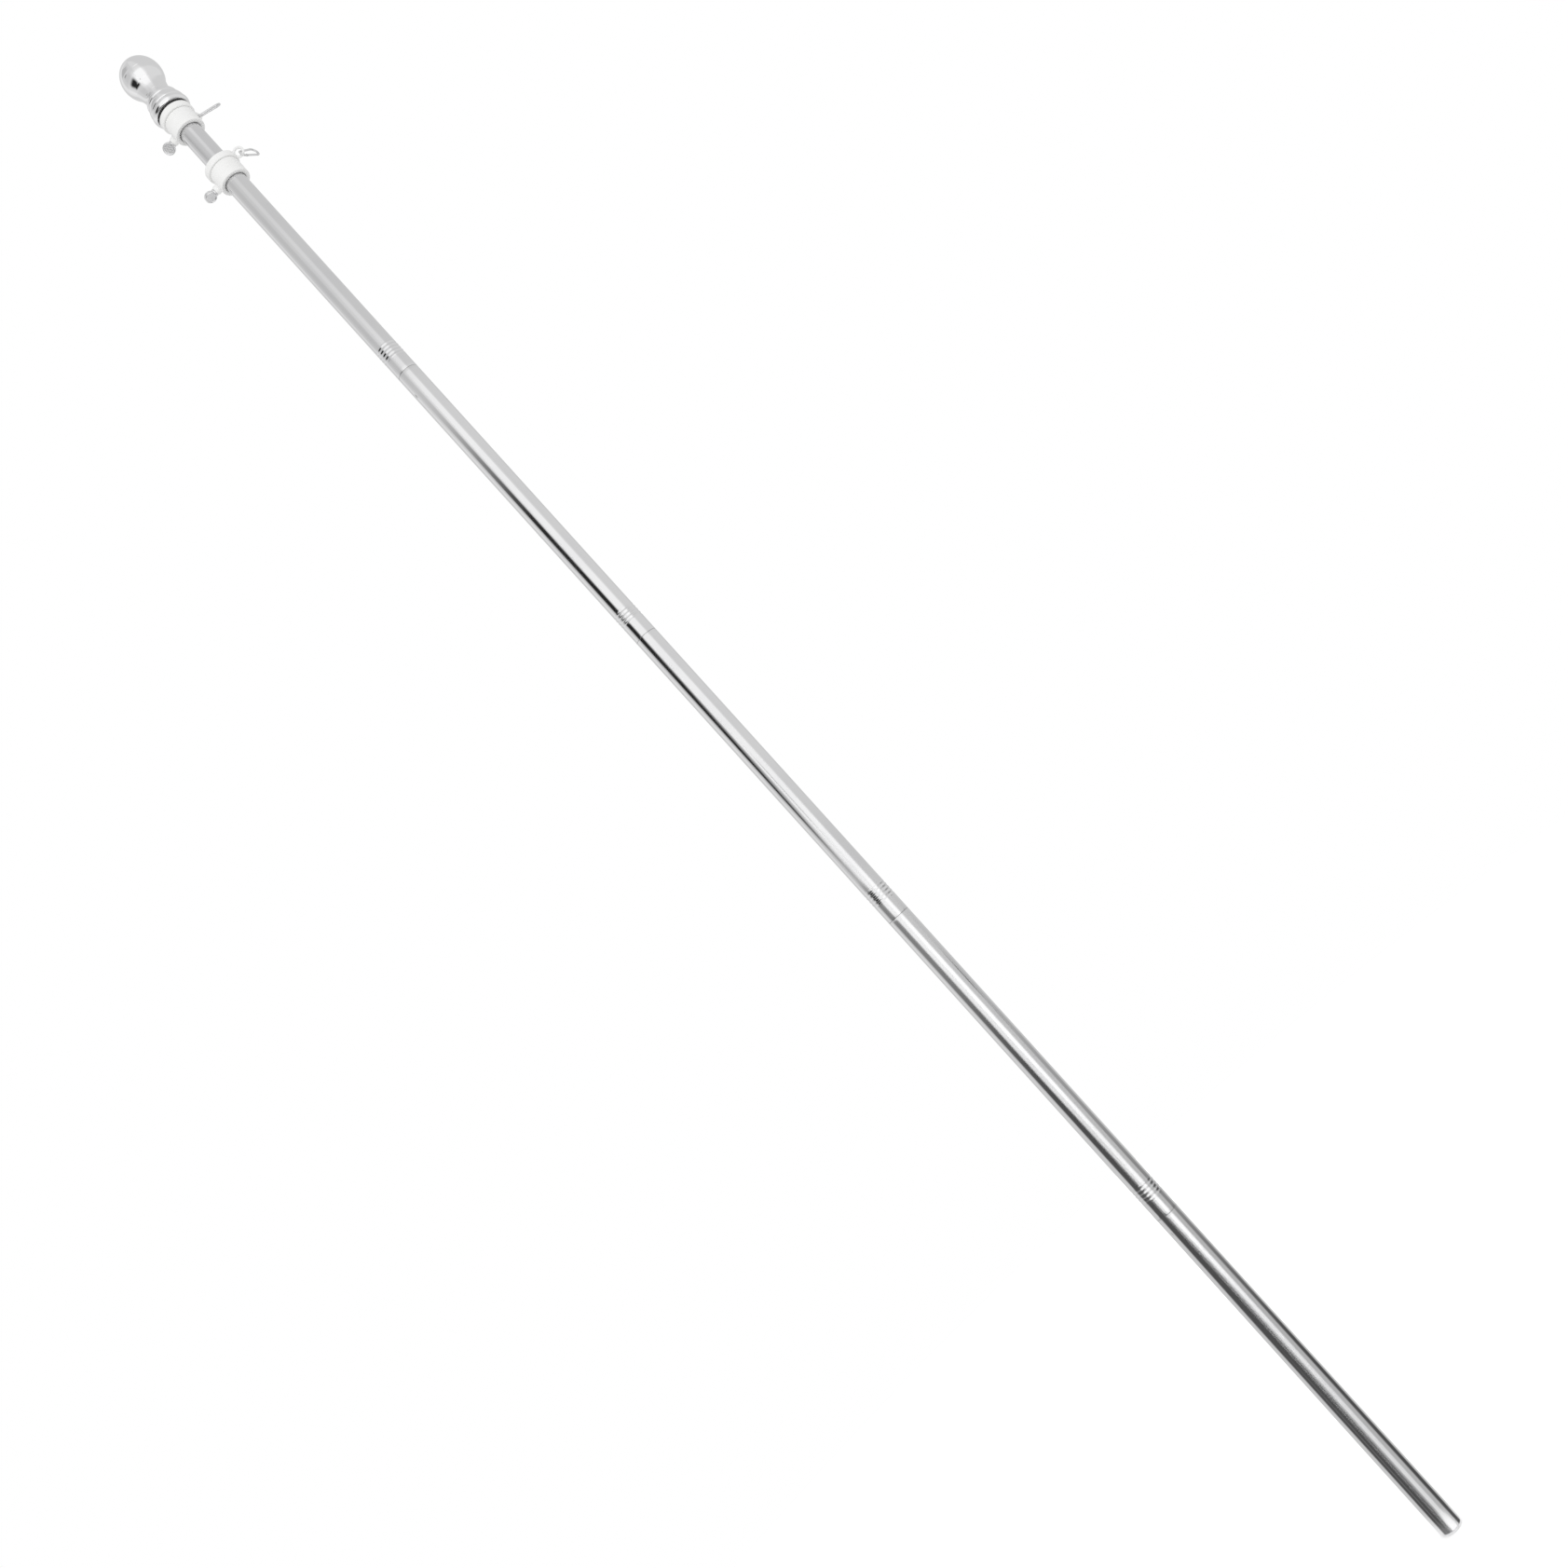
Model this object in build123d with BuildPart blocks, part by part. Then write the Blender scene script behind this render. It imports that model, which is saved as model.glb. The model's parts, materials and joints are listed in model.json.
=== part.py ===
"""Sectional steel flagpole with a ball finial and two swivelling flag collars.

Five equal tubes screw together end to end. A turned stem and a hollow ball close
the top. Two plastic collars clamp on the top tube with thumb screws, and each
carries a free-spinning ring whose ear holds a spring-gated snap clip for the flag.

Frame: +Z runs up the pole from the middle of the foot face. +X is the side that
the flag flies on. All sizes are in millimetres.
"""

from build123d import *
from math import asin, cos, degrees, radians, sin
import os

os.makedirs("parts", exist_ok=True)

# ---------------------------------------------------------------- pole sizes
POLE_OD = 25.4
POLE_WALL = 0.8
SECTION_COUNT = 5
SECTION_LENGTH = 390.0
EDGE_BREAK = 0.3

CRIMP_COUNT = 4
CRIMP_FIRST = 22.5
CRIMP_PITCH = 4.2
CRIMP_RADIUS = 1.3
CRIMP_DEPTH = 0.35

PLUG_FIT = 0.05
PLUG_UP = 40.0
PLUG_DOWN = 25.0
PLUG_BORE = 14.0
FOOT_PLUG_LENGTH = 24.0
FOOT_PLUG_FLOOR = 4.0
TOP_PLUG_LENGTH = 30.0

# -------------------------------------------------------------- finial sizes
STUD_DIAMETER = 10.0
STUD_ABOVE_PLUG = 56.0
STUD_INTO_PLUG = 22.0
STUD_FIT = 0.05
FERRULE_LENGTH = 18.0
FLANGE_UNDER_RADIUS = 20.8
FLANGE_RADIUS = 23.0
FLANGE_TOP_RADIUS = 21.2
FLANGE_HEIGHT = 11.0
LINE_GROOVE = 0.6
BEAD_RADIUS = 20.6
BEAD_TOP_RADIUS = 18.4
BEAD_HEIGHT = 9.2
NECK_FOOT_RADIUS = 18.0
NECK_RADIUS = 16.6
NECK_HEIGHT = 18.5
BALL_RADIUS = 24.0
BALL_WALL = 1.2
BALL_FIT = 0.05

# -------------------------------------------------------------- collar sizes
UPPER_COLLAR_DROP = 12.5
LOWER_COLLAR_DROP = 92.6
COLLAR_HEIGHT = 27.5
SLEEVE_WALL = 5.1
SLIDE_CLEARANCE = 0.3
SKIRT_DEPTH = 5.6
SKIRT_WALL = 2.1
SKIRT_EDGE = 0.7
RING_WALL = 4.6
RING_HEIGHT = 7.2
RING_SHELF = 4.2
RING_GAP = 0.3
HUB_WALL = 2.4
CAP_THICKNESS = 2.0
CAP_OVERHANG = 2.8
CAP_RECESS = 0.4
RIM_ROUND = 0.9

EAR_STANDOFF = 4.0
EAR_RADIUS = 5.35
EAR_THICKNESS = 2.9

SCREW_HEIGHT = 10.5
BOSS_DIAMETER = 10.0
BOSS_LENGTH = 5.1
BOSS_ROUND = 0.8
SCREW_DIAMETER = 5.0
SCREW_FIT = 0.08
SCREW_TIP_GAP = 0.05
SHOULDER_DIAMETER = 8.4
SHOULDER_LENGTH = 2.6
SHOULDER_GAP = 0.5
PADDLE_RADIUS = 6.9
PADDLE_THICKNESS = 4.4
PADDLE_RIM = 1.5
PADDLE_DISH = 0.9
PADDLE_SINK = 1.4

# ---------------------------------------------------------------- clip sizes
WIRE = 2.3
CLIP_NARROW = 3.6
CLIP_WIDE = 5.2
CLIP_LENGTH = 31.5
CLIP_SEAT_GAP = 0.9
LUG_RADIUS = 1.5
LUG_THICKNESS = 1.0
LUG_SETBACK = 2.4
FORK_GAP = 0.1
RIVET_DIAMETER = 0.9
RIVET_FIT = 0.04
NOSE_GAP = 0.2
NOSE_SETBACK = 1.2

# Each collar: how far its foot is below the top of the tubes, turn of the screw
# and of the ear about the pole, and turn of the screw's paddle on its own axis.
# Then how the clip lies:
# its place round the ear, its pitch, its yaw from the ear and its roll. Degrees.
COLLARS = {
    "upper": {"drop": UPPER_COLLAR_DROP, "screw": 161.0, "ear": 48.3, "paddle": -38.0,
              "link": 2.4, "pitch": -9.0, "yaw": -44.3, "roll": 28.5},
    "lower": {"drop": LOWER_COLLAR_DROP, "screw": 172.0, "ear": -3.0, "paddle": -78.0,
              "link": -59.9, "pitch": 12.8, "yaw": 61.9, "roll": -99.5},
}

# ------------------------------------------------------------ derived values
pole_r = POLE_OD / 2
pole_inner_r = pole_r - POLE_WALL
pole_top = SECTION_COUNT * SECTION_LENGTH
plug_r = pole_inner_r - PLUG_FIT

flange_bottom = pole_top + FERRULE_LENGTH
flange_top = flange_bottom + FLANGE_HEIGHT
bead_top = flange_top + BEAD_HEIGHT
neck_top = bead_top + NECK_HEIGHT
ball_drop = (BALL_RADIUS ** 2 - NECK_RADIUS ** 2) ** 0.5
ball_z = neck_top + ball_drop

sleeve_bore_r = pole_r + SLIDE_CLEARANCE
sleeve_r = sleeve_bore_r + SLEEVE_WALL
boss_reach = sleeve_r + BOSS_LENGTH
hub_r = sleeve_bore_r + HUB_WALL
ring_bore_r = hub_r + RING_GAP
ring_r = ring_bore_r + RING_WALL
ear_centre = ring_r + EAR_STANDOFF
cap_r = hub_r + CAP_OVERHANG
shoulder_z = COLLAR_HEIGHT - RING_HEIGHT - RING_GAP
shelf_z = COLLAR_HEIGHT - RING_HEIGHT + RING_SHELF
cap_z = shelf_z + CAP_RECESS
ear_z = COLLAR_HEIGHT - RING_HEIGHT / 2

wire_r = WIRE / 2
narrow_x = CLIP_NARROW - wire_r - EAR_THICKNESS / 2 - CLIP_SEAT_GAP
wide_x = narrow_x + CLIP_LENGTH - CLIP_NARROW - CLIP_WIDE - WIRE
lean = asin((CLIP_WIDE - CLIP_NARROW) / (wide_x - narrow_x))


def save(part, label):
    """Name a finished piece and write its STEP file."""
    part.label = label
    export_step(part, f"parts/{label}.step")


# ---------------------------------------------------------------- pole pieces
def pole_section(index):
    """A tube; all but the lowest have crimp rings rolled in above their lower seam."""
    bottom = index * SECTION_LENGTH
    with BuildPart() as section:
        with BuildSketch(Plane.XY.offset(bottom)):
            Circle(pole_r)
            Circle(pole_inner_r, mode=Mode.SUBTRACT)
        extrude(amount=SECTION_LENGTH)
        rims = section.edges().filter_by(GeomType.CIRCLE).sort_by(SortBy.RADIUS)[-2:]
        fillet(rims, EDGE_BREAK)
        if index > 0:
            with BuildSketch(Plane.XZ):
                for ring in range(CRIMP_COUNT):
                    height = bottom + CRIMP_FIRST + ring * CRIMP_PITCH
                    with Locations((pole_r + CRIMP_RADIUS - CRIMP_DEPTH, height)):
                        Circle(CRIMP_RADIUS)
            revolve(axis=Axis.Z, mode=Mode.SUBTRACT)
    return section.part


for index in range(SECTION_COUNT):
    save(pole_section(index), f"pole_section_{index + 1}")


def joint_plug(seam):
    """The sleeve inside a seam: it stays in the upper tube and screws into the lower."""
    with BuildPart() as plug:
        with BuildSketch(Plane.XY.offset(seam - PLUG_DOWN)):
            Circle(plug_r)
            Circle(PLUG_BORE / 2, mode=Mode.SUBTRACT)
        extrude(amount=PLUG_DOWN + PLUG_UP)
        chamfer(plug.edges().filter_by(GeomType.CIRCLE).sort_by(SortBy.RADIUS)[-2:], EDGE_BREAK)
    return plug.part


for index in range(1, SECTION_COUNT):
    save(joint_plug(index * SECTION_LENGTH), f"joint_plug_{index}")

with BuildPart() as foot_plug:
    with BuildSketch(Plane.XY):
        Circle(plug_r)
    extrude(amount=FOOT_PLUG_LENGTH)
    with BuildSketch(Plane.XY.offset(FOOT_PLUG_FLOOR)):
        Circle(PLUG_BORE / 2)
    extrude(amount=FOOT_PLUG_LENGTH - FOOT_PLUG_FLOOR, mode=Mode.SUBTRACT)
save(foot_plug.part, "foot_plug")

with BuildPart() as top_plug:
    with BuildSketch(Plane.XY.offset(pole_top - TOP_PLUG_LENGTH)):
        Circle(plug_r)
        Circle(STUD_DIAMETER / 2 + STUD_FIT, mode=Mode.SUBTRACT)
    extrude(amount=TOP_PLUG_LENGTH)
save(top_plug.part, "top_plug")

# -------------------------------------------------------------- finial pieces
with BuildPart() as finial_stud:
    with BuildSketch(Plane.XY.offset(pole_top - STUD_INTO_PLUG)):
        Circle(STUD_DIAMETER / 2)
    extrude(amount=STUD_INTO_PLUG + STUD_ABOVE_PLUG)
    chamfer(finial_stud.edges().filter_by(GeomType.CIRCLE), EDGE_BREAK)
save(finial_stud.part, "finial_stud")

with BuildPart() as finial_stem:
    with BuildSketch(Plane.XZ):
        with BuildLine():
            Polyline(
                (0, neck_top),
                (0, pole_top),
                (pole_r, pole_top),
                (pole_r, flange_bottom),
                (FLANGE_UNDER_RADIUS, flange_bottom),
            )
            ThreePointArc(
                (FLANGE_UNDER_RADIUS, flange_bottom),
                (FLANGE_RADIUS, flange_bottom + FLANGE_HEIGHT / 2),
                (FLANGE_TOP_RADIUS, flange_top),
            )
            Polyline(
                (FLANGE_TOP_RADIUS, flange_top),
                (BEAD_RADIUS - LINE_GROOVE, flange_top + LINE_GROOVE / 2),
                (BEAD_RADIUS, flange_top + LINE_GROOVE),
            )
            bead_middle = (flange_top + bead_top) / 2
            ThreePointArc(
                (BEAD_RADIUS, flange_top + LINE_GROOVE),
                ((BEAD_RADIUS + BEAD_TOP_RADIUS) / 2 + LINE_GROOVE, bead_middle),
                (BEAD_TOP_RADIUS, bead_top - LINE_GROOVE),
            )
            Polyline(
                (BEAD_TOP_RADIUS, bead_top - LINE_GROOVE),
                (NECK_FOOT_RADIUS - LINE_GROOVE, bead_top - LINE_GROOVE / 2),
                (NECK_FOOT_RADIUS, bead_top),
            )
            Spline(
                (NECK_FOOT_RADIUS, bead_top),
                (NECK_RADIUS, neck_top),
                tangents=((-0.3, 1), (0, 1)),
            )
            Line((NECK_RADIUS, neck_top), (0, neck_top))
        make_face()
    revolve(axis=Axis.Z)
    with BuildSketch(Plane.XY.offset(pole_top)):
        Circle(STUD_DIAMETER / 2 + STUD_FIT)
    extrude(amount=STUD_ABOVE_PLUG, mode=Mode.SUBTRACT)
    with Locations((0, 0, ball_z)):
        Sphere(BALL_RADIUS + BALL_FIT, mode=Mode.SUBTRACT)
save(finial_stem.part, "finial_stem")

with BuildPart() as finial_ball:
    with Locations((0, 0, ball_z)):
        Sphere(BALL_RADIUS)
        Sphere(BALL_RADIUS - BALL_WALL, mode=Mode.SUBTRACT)
    with BuildSketch(Plane.XY.offset(pole_top)):
        Circle(STUD_DIAMETER / 2 + STUD_FIT)
    extrude(amount=STUD_ABOVE_PLUG, mode=Mode.SUBTRACT)
save(finial_ball.part, "finial_ball")


# -------------------------------------------------------------- collar pieces
def radial_plane(turn, height, reach=0.0):
    """A plane across the line that leaves the pole at this turn; its x runs up."""
    outward = Vector(cos(radians(turn)), sin(radians(turn)), 0)
    return Plane(origin=outward * reach + Vector(0, 0, height), x_dir=(0, 0, 1), z_dir=outward)


def clamp_sleeve(bottom, turn):
    """The clamped sleeve: a hub for the ring, a skirt below and a boss for the screw."""
    with BuildPart() as sleeve:
        with BuildSketch(Plane.XY.offset(bottom)):
            Circle(sleeve_r)
        extrude(amount=shoulder_z)
        fillet(sleeve.edges().filter_by(GeomType.CIRCLE), SKIRT_EDGE)
        with BuildSketch(Plane.XY.offset(bottom)):
            Circle(hub_r)
        extrude(amount=cap_z)
        with BuildSketch(radial_plane(turn, bottom + SCREW_HEIGHT)):
            Circle(BOSS_DIAMETER / 2)
        extrude(amount=boss_reach)
        boss_rim = sleeve.edges().filter_by(GeomType.CIRCLE).filter_by(
            lambda edge: abs(edge.radius - BOSS_DIAMETER / 2) < EDGE_BREAK
        )
        fillet(boss_rim, BOSS_ROUND)
        with BuildSketch(Plane.XY.offset(bottom)):
            Circle(sleeve_bore_r)
        extrude(amount=COLLAR_HEIGHT, mode=Mode.SUBTRACT)
        with BuildSketch(Plane.XY.offset(bottom)):
            Circle(sleeve_r - SKIRT_WALL)
        extrude(amount=SKIRT_DEPTH, mode=Mode.SUBTRACT)
        with BuildSketch(radial_plane(turn, bottom + SCREW_HEIGHT)):
            Circle(SCREW_DIAMETER / 2 + SCREW_FIT)
        extrude(amount=boss_reach, mode=Mode.SUBTRACT)
    return sleeve.part


def ring_cap(bottom):
    """The washer on top of the hub that keeps the ring from lifting off."""
    with BuildPart() as cap:
        with BuildSketch(Plane.XY.offset(bottom + cap_z)):
            Circle(cap_r)
            Circle(sleeve_bore_r, mode=Mode.SUBTRACT)
        extrude(amount=CAP_THICKNESS)
        chamfer(cap.edges().sort_by(Axis.Z)[-1], EDGE_BREAK)
    return cap.part


def ear_plane(bottom, turn):
    """The plane of the ear: x points away from the pole and y points up it."""
    outward = Vector(cos(radians(turn)), sin(radians(turn)), 0)
    centre = outward * ear_centre + Vector(0, 0, bottom + ear_z)
    return Plane(origin=centre, x_dir=outward, z_dir=outward.cross(Vector(0, 0, 1)))


def spin_ring(bottom, turn):
    """The ring that turns freely round the hub, with a round ear for the clip."""
    with BuildPart() as ring:
        with BuildSketch(Plane.XY.offset(bottom + COLLAR_HEIGHT - RING_HEIGHT)):
            Circle(ring_r)
        extrude(amount=RING_HEIGHT)
        fillet(ring.edges().filter_by(GeomType.CIRCLE), RIM_ROUND)
        with Locations(ear_plane(bottom, turn)):
            Torus(EAR_RADIUS, EAR_THICKNESS / 2)
        with BuildSketch(Plane.XY.offset(bottom)):
            Circle(ring_bore_r)
        extrude(amount=2 * COLLAR_HEIGHT, mode=Mode.SUBTRACT)
        with BuildSketch(Plane.XY.offset(bottom + shelf_z)):
            Circle(cap_r + CAP_RECESS)
        extrude(amount=COLLAR_HEIGHT, mode=Mode.SUBTRACT)
    return ring.part


def thumb_screw(bottom, turn, paddle_turn):
    """A clamp screw with a round, dished paddle, lying along a line from the pole."""
    axis_plane = radial_plane(turn, bottom + SCREW_HEIGHT)
    outward = axis_plane.z_dir
    shoulder_start = boss_reach + SHOULDER_GAP
    paddle_start = shoulder_start + SHOULDER_LENGTH - PADDLE_SINK
    face_dir = axis_plane.x_dir.rotate(Axis((0, 0, 0), outward), 90.0 + paddle_turn)
    face_origin = axis_plane.origin + outward * (paddle_start + PADDLE_RADIUS)
    face = Plane(origin=face_origin, x_dir=outward, z_dir=face_dir)
    with BuildPart() as screw:
        with BuildSketch(radial_plane(turn, bottom + SCREW_HEIGHT, pole_r + SCREW_TIP_GAP)):
            Circle(SCREW_DIAMETER / 2)
        extrude(amount=shoulder_start - pole_r)
        with BuildSketch(radial_plane(turn, bottom + SCREW_HEIGHT, shoulder_start)):
            Circle(SHOULDER_DIAMETER / 2)
        extrude(amount=SHOULDER_LENGTH)
        chamfer(screw.edges().filter_by(GeomType.CIRCLE), EDGE_BREAK)
        with BuildSketch(face):
            Circle(PADDLE_RADIUS)
        extrude(amount=PADDLE_THICKNESS / 2, both=True)
        with BuildSketch(face.offset(PADDLE_THICKNESS / 2 - PADDLE_DISH)):
            Circle(PADDLE_RADIUS - PADDLE_RIM)
        extrude(amount=PADDLE_DISH, mode=Mode.SUBTRACT)
        with BuildSketch(face.offset(PADDLE_DISH - PADDLE_THICKNESS / 2)):
            Circle(PADDLE_RADIUS - PADDLE_RIM)
        extrude(amount=-PADDLE_DISH, mode=Mode.SUBTRACT)
    return screw.part


# ---------------------------------------------------------------- clip pieces
def clip_plane(bottom, collar):
    """The clip's own plane: origin where the ear passes, x along it, y to its gate."""
    ear = ear_plane(bottom, collar["ear"])
    link = radians(collar["link"])
    origin = ear.origin + ear.x_dir * (EAR_RADIUS * cos(link)) + ear.y_dir * (EAR_RADIUS * sin(link))
    heading = radians(collar["ear"] + collar["yaw"])
    pitch = radians(collar["pitch"])
    along = Vector(cos(heading) * cos(pitch), sin(heading) * cos(pitch), sin(pitch))
    level = Vector(-sin(heading), cos(heading), 0)
    across = level.rotate(Axis((0, 0, 0), along), collar["roll"])
    return Plane(origin=origin, x_dir=along, z_dir=along.cross(across))


def rim_point(centre_x, radius, angle):
    """A point on one of the clip's two end arcs, the angle measured from its nose."""
    return (centre_x + radius * cos(angle), radius * sin(angle))


quarter = radians(90.0)
gate_angle = quarter + lean
lug_x = rim_point(narrow_x, CLIP_NARROW, gate_angle)[0] + LUG_SETBACK * cos(lean)
lug_y = rim_point(narrow_x, CLIP_NARROW, gate_angle)[1] + LUG_SETBACK * sin(lean)
nose_x = rim_point(wide_x, CLIP_WIDE, gate_angle)[0] - NOSE_SETBACK * cos(lean)
nose_y = rim_point(wide_x, CLIP_WIDE, gate_angle)[1] - NOSE_SETBACK * sin(lean)


def clip_frame(plane):
    """The bent wire: two end arcs and a straight back, open on the gate's side."""
    with BuildPart() as frame:
        with BuildLine(plane) as path:
            Line((nose_x, nose_y), rim_point(wide_x, CLIP_WIDE, gate_angle))
            ThreePointArc(
                rim_point(wide_x, CLIP_WIDE, gate_angle),
                rim_point(wide_x, CLIP_WIDE, 0),
                rim_point(wide_x, CLIP_WIDE, -gate_angle),
            )
            Line(
                rim_point(wide_x, CLIP_WIDE, -gate_angle),
                rim_point(narrow_x, CLIP_NARROW, -gate_angle),
            )
            ThreePointArc(
                rim_point(narrow_x, CLIP_NARROW, -gate_angle),
                rim_point(narrow_x, CLIP_NARROW, 2 * quarter),
                rim_point(narrow_x, CLIP_NARROW, gate_angle),
            )
        start = path.wires()[0]
        with BuildSketch(Plane(origin=start @ 0, z_dir=start % 0)):
            Circle(wire_r)
        sweep(path=start)
        lug = Plane(origin=plane.from_local_coords((lug_x, lug_y, -LUG_THICKNESS / 2)),
                    x_dir=plane.x_dir, z_dir=plane.z_dir)
        neck = rim_point(narrow_x, CLIP_NARROW, gate_angle)
        with BuildSketch(lug):
            Circle(LUG_RADIUS)
            with Locations(Vector(neck[0] - lug_x, neck[1] - lug_y) / 2):
                Rectangle(LUG_SETBACK, 2 * LUG_RADIUS, rotation=degrees(lean))
        extrude(amount=LUG_THICKNESS)
        with BuildSketch(lug):
            Circle(RIVET_DIAMETER / 2 + RIVET_FIT)
        extrude(amount=LUG_THICKNESS, mode=Mode.SUBTRACT)
    return frame.part


def clip_gate(plane):
    """The sprung bar: forked over the lug at one end, meeting the nose at the other."""
    reach = ((nose_x - lug_x) ** 2 + (nose_y - lug_y) ** 2) ** 0.5 - NOSE_GAP
    hinge = plane.from_local_coords((lug_x, lug_y, 0))
    along = plane.x_dir.rotate(Axis((0, 0, 0), plane.z_dir), degrees(lean))
    across = Plane(origin=hinge, x_dir=plane.z_dir, z_dir=along)
    flat = Plane(origin=hinge, x_dir=along, z_dir=plane.z_dir)
    with BuildPart() as gate:
        with BuildSketch(across):
            Circle(wire_r)
        extrude(amount=reach)
        with BuildSketch(flat):
            Circle(wire_r)
        extrude(amount=wire_r, both=True)
        slot = 2 * (LUG_RADIUS + FORK_GAP)
        with BuildSketch(flat):
            Circle(LUG_RADIUS + 2 * FORK_GAP)
            with Locations((-slot / 2, 0)):
                Rectangle(slot, slot)
        extrude(amount=LUG_THICKNESS / 2 + FORK_GAP, both=True, mode=Mode.SUBTRACT)
        with BuildSketch(flat):
            Circle(RIVET_DIAMETER / 2)
        extrude(amount=wire_r, both=True, mode=Mode.SUBTRACT)
    return gate.part


def clip_rivet(plane):
    """The pin through the gate's fork and the lug."""
    hinge = Plane(origin=plane.from_local_coords((lug_x, lug_y, -wire_r)),
                  x_dir=plane.x_dir, z_dir=plane.z_dir)
    with BuildPart() as rivet:
        with BuildSketch(hinge):
            Circle(RIVET_DIAMETER / 2)
        extrude(amount=WIRE)
    return rivet.part


for name, collar in COLLARS.items():
    bottom = pole_top - collar["drop"]
    lie = clip_plane(bottom, collar)
    save(clamp_sleeve(bottom, collar["screw"]), f"clamp_sleeve_{name}")
    save(ring_cap(bottom), f"ring_cap_{name}")
    save(spin_ring(bottom, collar["ear"]), f"spin_ring_{name}")
    save(thumb_screw(bottom, collar["screw"], collar["paddle"]), f"thumb_screw_{name}")
    save(clip_frame(lie), f"clip_frame_{name}")
    save(clip_gate(lie), f"clip_gate_{name}")
    save(clip_rivet(lie), f"clip_rivet_{name}")
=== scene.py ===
# %% [markdown]
# A sectional flagpole, dressed for a studio. The CAD model arrives as a fixed frame: every size
# and every moving body is settled already. What is added here is how the pole looks, and almost
# all of it is bright metal, so this lesson is mostly about two things: surfaces smooth enough to
# reflect cleanly, and surroundings worth reflecting.

# %% Load the frame
import json
import bmesh
import bpy
import numpy as np
from mathutils import Matrix, Vector

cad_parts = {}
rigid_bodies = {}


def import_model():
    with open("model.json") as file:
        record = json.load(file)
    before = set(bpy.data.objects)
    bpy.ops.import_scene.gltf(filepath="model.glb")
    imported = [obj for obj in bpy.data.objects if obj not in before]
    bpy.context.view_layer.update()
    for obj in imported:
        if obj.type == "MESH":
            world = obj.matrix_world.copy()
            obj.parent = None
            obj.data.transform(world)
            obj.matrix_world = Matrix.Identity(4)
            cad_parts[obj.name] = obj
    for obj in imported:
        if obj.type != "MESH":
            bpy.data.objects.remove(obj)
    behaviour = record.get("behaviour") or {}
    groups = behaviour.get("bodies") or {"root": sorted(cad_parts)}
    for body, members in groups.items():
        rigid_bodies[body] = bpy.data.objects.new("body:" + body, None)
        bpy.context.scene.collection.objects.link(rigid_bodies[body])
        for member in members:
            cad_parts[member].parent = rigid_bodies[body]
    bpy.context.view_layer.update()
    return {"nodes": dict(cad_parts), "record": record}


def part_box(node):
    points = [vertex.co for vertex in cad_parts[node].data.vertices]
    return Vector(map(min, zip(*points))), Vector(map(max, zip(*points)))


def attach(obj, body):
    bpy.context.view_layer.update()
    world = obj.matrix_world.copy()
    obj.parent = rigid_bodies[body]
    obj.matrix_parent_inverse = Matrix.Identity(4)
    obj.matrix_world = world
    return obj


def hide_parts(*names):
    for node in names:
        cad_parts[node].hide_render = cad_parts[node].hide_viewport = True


for thing in list(bpy.data.objects):
    bpy.data.objects.remove(thing)
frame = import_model()
nodes = frame["nodes"]

# %% [markdown]
# The camera stands a metre and a half away, a little below the pole's middle, and is rolled by
# almost forty-five degrees, so a pole that is really upright runs from corner to corner. A
# constraint could aim it, but the roll would then be one more angle to work out. A camera looks
# along its own -Z with +Y up, so its matrix is simply three directions side by side.

# %% Camera
CAMERA_PLACE = Vector((0.0, -1.5767, 0.767))
CAMERA_RIGHT = Vector((0.741944, 0.079068, -0.665661))
CAMERA_UP = Vector((0.670288, -0.090655, 0.736499))
LENS_MM = 35.49


def look_matrix(place, right, up):
    """Columns are right, up and backwards; backwards is right cross up, so all three stay square."""
    back = right.normalized().cross(up.normalized()).normalized()
    upright = back.cross(right.normalized())
    turn = Matrix((right.normalized(), upright, back)).transposed()
    return Matrix.Translation(place) @ turn.to_4x4()


camera_data = bpy.data.cameras.new("camera")
camera_data.lens = LENS_MM
camera_data.sensor_width = 36.0
camera_data.clip_end = 50.0
camera = bpy.data.objects.new("camera", camera_data)
bpy.context.scene.collection.objects.link(camera)
camera.matrix_world = look_matrix(CAMERA_PLACE, CAMERA_RIGHT, CAMERA_UP)
bpy.context.scene.camera = camera
bpy.context.scene.view_settings.view_transform = "Standard"
print("camera lens", LENS_MM, "mm at", tuple(round(c, 3) for c in CAMERA_PLACE))

# %% [markdown]
# Shader graphs get long when every link is typed out, so a small helper adds a node, sets its
# sockets and wires in anything that is itself a socket. Shared effects are node groups: they are
# drawn once, given named inputs and outputs, and dropped into each material with its own values.


# %% Node helpers
def add_node(tree, kind, settings=None, **inputs):
    """Adds one node. Settings are its own properties; inputs are values or other nodes' sockets, named
    as Blender labels them or by number, as in i0."""
    node = tree.nodes.new(kind)
    for key, value in (settings or {}).items():
        setattr(node, key, value)
    for key, value in inputs.items():
        numbered = key[0] == "i" and key[1:].isdigit()
        socket = node.inputs[int(key[1:]) if numbered else key.replace("_", " ")]
        if isinstance(value, bpy.types.NodeSocket):
            tree.links.new(value, socket)
        else:
            socket.default_value = value
    return node


def maths(tree, operation, first, second=0.0, third=0.0, clamp=False):
    """One Math node: the operation on up to three numbers or sockets."""
    settings = {"operation": operation, "use_clamp": clamp}
    return add_node(tree, "ShaderNodeMath", settings, i0=first, i1=second, i2=third).outputs[0]


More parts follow.
